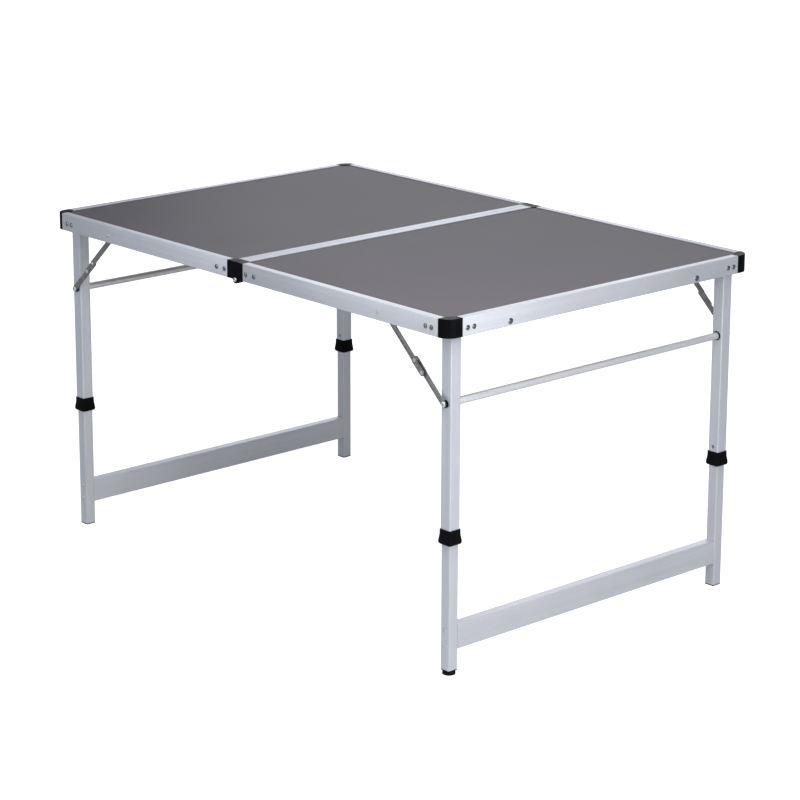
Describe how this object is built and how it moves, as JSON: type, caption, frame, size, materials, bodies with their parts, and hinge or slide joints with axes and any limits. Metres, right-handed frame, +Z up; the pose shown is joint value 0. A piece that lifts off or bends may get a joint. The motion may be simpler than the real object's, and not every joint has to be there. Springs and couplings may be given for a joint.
{
  "type": "folding table",
  "caption": "Aluminium folding camp table: two framed panels hinged at the middle, on folding leg frames with telescopic legs and jointed braces.",
  "frame": {"origin": "on the floor under the middle of the open table", "axes": "+X along the length, away from the left half; +Y across the width, to the rear; +Z up"},
  "size_m": [1.2026, 0.8026, 0.68],
  "materials": {
    "laminate": "matt grey-brown laminate on board",
    "rail_aluminium": "satin anodised extrusion",
    "tube_aluminium": "satin anodised tube",
    "bar_aluminium": "drawn round tube",
    "strip_aluminium": "mill finish flat bar",
    "black_plastic": "moulded black nylon",
    "foot_rubber": "hard rubber",
    "brace_steel": "dull zinc-plated strip",
    "zinc_steel": "zinc-plated pressing",
    "bright_steel": "bright rivets and screws",
    "spring_steel": "spring strip"
  },
  "bodies": {
    "right_top": {"right_panel": "laminate", "right_front_rail": "rail_aluminium", "right_rear_rail": "rail_aluminium", "right_end_rail": "rail_aluminium", "right_centre_rail": "rail_aluminium", "right_corner_caps": "black_plastic", "right_hinge_leaves": "black_plastic", "right_support_strips": "strip_aluminium", "right_rail_rivets": "bright_steel", "right_leg_brackets": "zinc_steel", "right_leg_pins": "bright_steel", "right_brace_rail_pivots": "bright_steel", "hinge_pins": "bright_steel"},
    "right_leg_upper": {"right_front_upper_tube": "tube_aluminium", "right_rear_upper_tube": "tube_aluminium", "right_cross_bar": "bar_aluminium", "right_bar_bushes": "black_plastic", "right_collars": "black_plastic"},
    "right_leg_lower": {"right_front_lower_tube": "tube_aluminium", "right_rear_lower_tube": "tube_aluminium", "right_stretcher": "tube_aluminium", "right_stretcher_plugs": "black_plastic", "right_stretcher_screws": "bright_steel", "right_guide_plugs": "black_plastic", "right_foot_plugs": "foot_rubber"},
    "right_front_button": {"right_front_snap_clip": "spring_steel"},
    "right_rear_button": {"right_rear_snap_clip": "spring_steel"},
    "right_brace_upper": {"right_brace_uppers": "brace_steel", "right_brace_rivets": "bright_steel"},
    "right_brace_lower": {"right_brace_lowers": "brace_steel"},
    "left_top": {"left_panel": "laminate", "left_front_rail": "rail_aluminium", "left_rear_rail": "rail_aluminium", "left_end_rail": "rail_aluminium", "left_centre_rail": "rail_aluminium", "left_corner_caps": "black_plastic", "left_hinge_leaves": "black_plastic", "left_support_strips": "strip_aluminium", "left_rail_rivets": "bright_steel", "left_leg_brackets": "zinc_steel", "left_leg_pins": "bright_steel", "left_brace_rail_pivots": "bright_steel"},
    "left_leg_upper": {"left_front_upper_tube": "tube_aluminium", "left_rear_upper_tube": "tube_aluminium", "left_cross_bar": "bar_aluminium", "left_bar_bushes": "black_plastic", "left_collars": "black_plastic"},
    "left_leg_lower": {"left_front_lower_tube": "tube_aluminium", "left_rear_lower_tube": "tube_aluminium", "left_stretcher": "tube_aluminium", "left_stretcher_plugs": "black_plastic", "left_stretcher_screws": "bright_steel", "left_guide_plugs": "black_plastic", "left_foot_plugs": "foot_rubber"},
    "left_front_button": {"left_front_snap_clip": "spring_steel"},
    "left_rear_button": {"left_rear_snap_clip": "spring_steel"},
    "left_brace_upper": {"left_brace_uppers": "brace_steel", "left_brace_rivets": "bright_steel"},
    "left_brace_lower": {"left_brace_lowers": "brace_steel"},
    "levelling_foot": {"levelling_foot": "foot_rubber"}
  },
  "joints": [
    {"name": "centre_fold", "type": "hinge", "parent": "right_top", "child": "left_top", "pos_m": [0, 0, 0.6445], "axis": [0, -1, 0], "range_deg": [0, 75]},
    {"name": "right_leg_fold", "type": "hinge", "parent": "right_top", "child": "right_leg_upper", "pos_m": [0.567, 0, 0.66], "axis": [0, 1, 0], "range_deg": [0, 87]},
    {"name": "right_leg_slide", "type": "slide", "parent": "right_leg_upper", "child": "right_leg_lower", "axis": [0, 0, 1], "range_m": [0, 0.14]},
    {"name": "right_front_snap_button", "type": "slide", "parent": "right_leg_lower", "child": "right_front_button", "axis": [0, -1, 0], "range_m": [0, 0.0025], "stiffness_N_per_m": 1500, "deforming": ["right_front_snap_clip"]},
    {"name": "right_rear_snap_button", "type": "slide", "parent": "right_leg_lower", "child": "right_rear_button", "axis": [0, 1, 0], "range_m": [0, 0.0025], "stiffness_N_per_m": 1500, "deforming": ["right_rear_snap_clip"]},
    {"name": "right_brace_upper_turn", "type": "hinge", "parent": "right_top", "child": "right_brace_upper", "pos_m": [0.413, 0, 0.66], "axis": [0, -1, 0], "range_deg": [0, 43]},
    {"name": "right_brace_lower_turn", "type": "hinge", "parent": "right_leg_upper", "child": "right_brace_lower", "pos_m": [0.567, 0, 0.517], "axis": [0, 1, 0], "range_deg": [0, 47]},
    {"name": "left_leg_fold", "type": "hinge", "parent": "left_top", "child": "left_leg_upper", "pos_m": [-0.567, 0, 0.66], "axis": [0, -1, 0], "range_deg": [0, 87]},
    {"name": "left_leg_slide", "type": "slide", "parent": "left_leg_upper", "child": "left_leg_lower", "axis": [0, 0, 1], "range_m": [0, 0.14]},
    {"name": "left_front_snap_button", "type": "slide", "parent": "left_leg_lower", "child": "left_front_button", "axis": [0, -1, 0], "range_m": [0, 0.0025], "stiffness_N_per_m": 1500, "deforming": ["left_front_snap_clip"]},
    {"name": "left_rear_snap_button", "type": "slide", "parent": "left_leg_lower", "child": "left_rear_button", "axis": [0, 1, 0], "range_m": [0, 0.0025], "stiffness_N_per_m": 1500, "deforming": ["left_rear_snap_clip"]},
    {"name": "left_brace_upper_turn", "type": "hinge", "parent": "left_top", "child": "left_brace_upper", "pos_m": [-0.413, 0, 0.66], "axis": [0, 1, 0], "range_deg": [0, 43]},
    {"name": "left_brace_lower_turn", "type": "hinge", "parent": "left_leg_upper", "child": "left_brace_lower", "pos_m": [-0.567, 0, 0.517], "axis": [0, -1, 0], "range_deg": [0, 47]},
    {"name": "levelling_foot_turn", "type": "hinge", "parent": "right_leg_lower", "child": "levelling_foot", "pos_m": [0.567, -0.36, 0.004], "axis": [0, 0, 1], "continuous": true}
  ],
  "couplings": [
    {"joint": "right_brace_upper_turn", "follows": "right_leg_fold", "ratio": 0.48604},
    {"joint": "right_brace_lower_turn", "follows": "right_leg_fold", "ratio": 0.53416},
    {"joint": "left_brace_upper_turn", "follows": "left_leg_fold", "ratio": 0.48604},
    {"joint": "left_brace_lower_turn", "follows": "left_leg_fold", "ratio": 0.53416}
  ]
}
